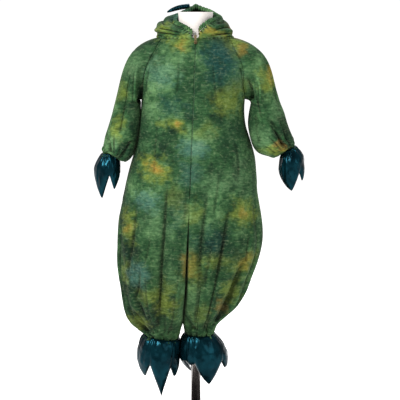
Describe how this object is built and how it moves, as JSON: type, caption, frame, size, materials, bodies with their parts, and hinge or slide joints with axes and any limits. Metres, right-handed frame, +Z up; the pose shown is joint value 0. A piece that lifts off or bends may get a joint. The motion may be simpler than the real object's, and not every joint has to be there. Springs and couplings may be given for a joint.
{
  "type": "dinosaur costume on dress form",
  "caption": "Child's hooded dinosaur jumpsuit with elastic cuffs, padded claws and a front zip, on a limbless dress form with a pole and a round base.",
  "frame": {"origin": "centre of the base plate's underside, on the pole's axis", "axes": "+Z up, -Y the side that the costume's front faces, +X to the right as seen from the front"},
  "size_m": [0.5383, 0.28, 1.1209],
  "materials": {
    "green_cloth": "short napped, mottled green dye",
    "claw_cloth": "glossy metallic teal",
    "zip_tape": "woven tape",
    "zip_metal": "aged",
    "form_cover": "stretched jersey",
    "stand_steel": "dark polished"
  },
  "bodies": {
    "root": {"front_left": "green_cloth", "front_right": "green_cloth", "back_left": "green_cloth", "back_right": "green_cloth", "sleeve_left": "green_cloth", "sleeve_right": "green_cloth", "wrist_casing_left": "green_cloth", "wrist_casing_right": "green_cloth", "ankle_casing_left": "green_cloth", "ankle_casing_right": "green_cloth", "hood_left": "green_cloth", "hood_right": "green_cloth", "hood_edge": "green_cloth", "hood_spike": "claw_cloth", "hand_cover_left": "claw_cloth", "hand_cover_right": "claw_cloth", "foot_cover_left": "claw_cloth", "foot_cover_right": "claw_cloth", "zip_tape_left": "zip_tape", "zip_tape_right": "zip_tape", "zip_slider": "zip_metal", "form_body": "form_cover", "pole": "stand_steel", "base_plate": "stand_steel"},
    "pull": {"zip_pull": "zip_metal"}
  },
  "joints": [
    {"name": "pull_hinge", "type": "hinge", "parent": "root", "child": "pull", "pos_m": [0, -0.07451, 1.02742], "axis": [1, 0, 0], "range_deg": [0, 138]}
  ]
}
